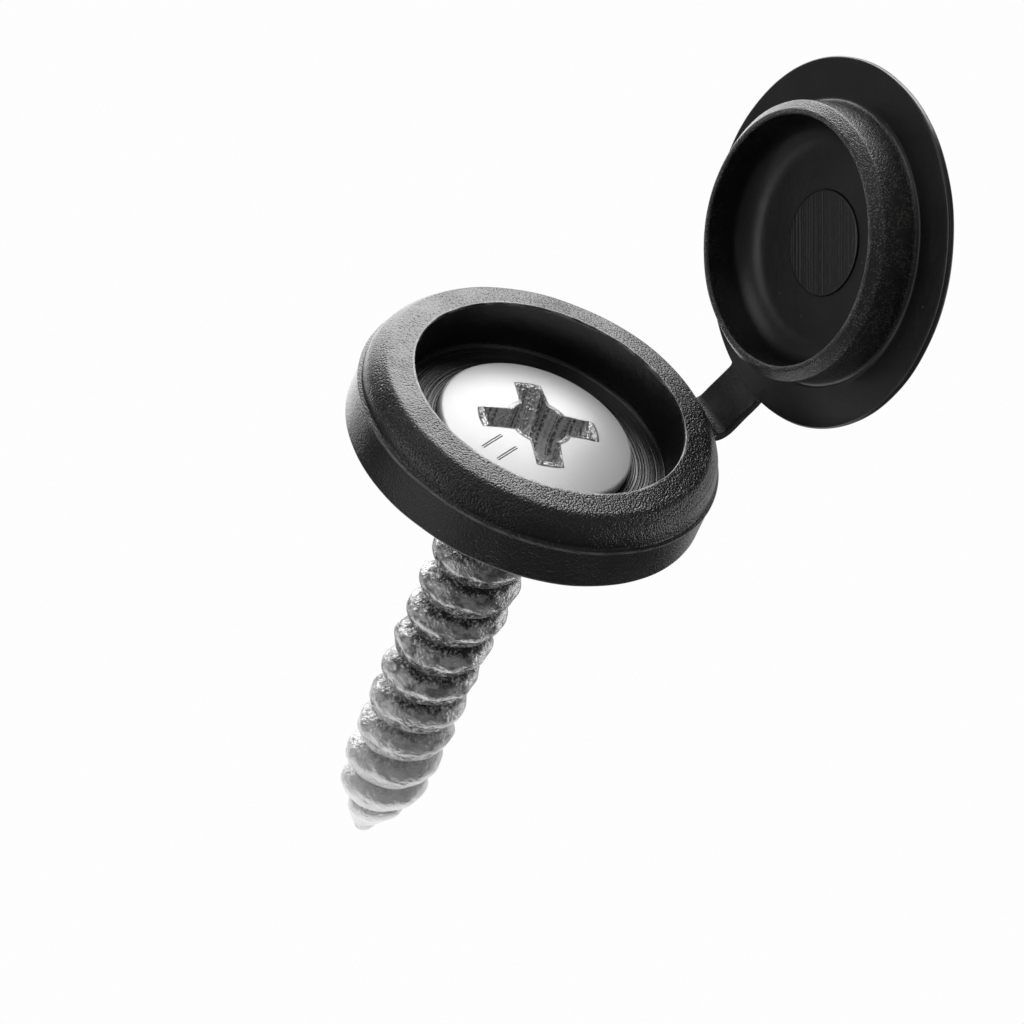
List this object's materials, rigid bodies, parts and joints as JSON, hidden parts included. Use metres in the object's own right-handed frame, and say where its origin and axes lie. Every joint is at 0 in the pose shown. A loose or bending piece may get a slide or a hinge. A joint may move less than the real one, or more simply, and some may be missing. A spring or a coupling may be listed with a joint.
{
  "type": "screw cover cap",
  "caption": "Hinged cap that hides a screw head: round base cup with a rounded rim, snap-in lid on a flexible strap, and the domed cross-recess wood screw seated in it.",
  "frame": {"origin": "centre of the base's underside, on the screw's axis, in the plane that bears on the wall or board", "axes": "+Z along the screw's axis towards its head, +X from the screw's axis to the strap and the lid"},
  "size_m": [0.0195, 0.0158, 0.0424],
  "materials": {
    "black_plastic": "black moulded polypropylene, fine leathery grain on the rim and satin elsewhere",
    "bright_zinc": "bright zinc-plated steel, smooth on the head, mottled and slightly rough on the rolled thread"
  },
  "bodies": {
    "cap_base": {"cover_base": "black_plastic", "screw": "bright_zinc"},
    "cap_lid": {"cover_lid": "black_plastic"}
  },
  "joints": [
    {"name": "lid_hinge", "type": "hinge", "parent": "cap_base", "child": "cap_lid", "pos_m": [0.00877, 0, 0.00273], "axis": [0, 1, 0], "range_deg": [-94.9, 85.1]}
  ]
}
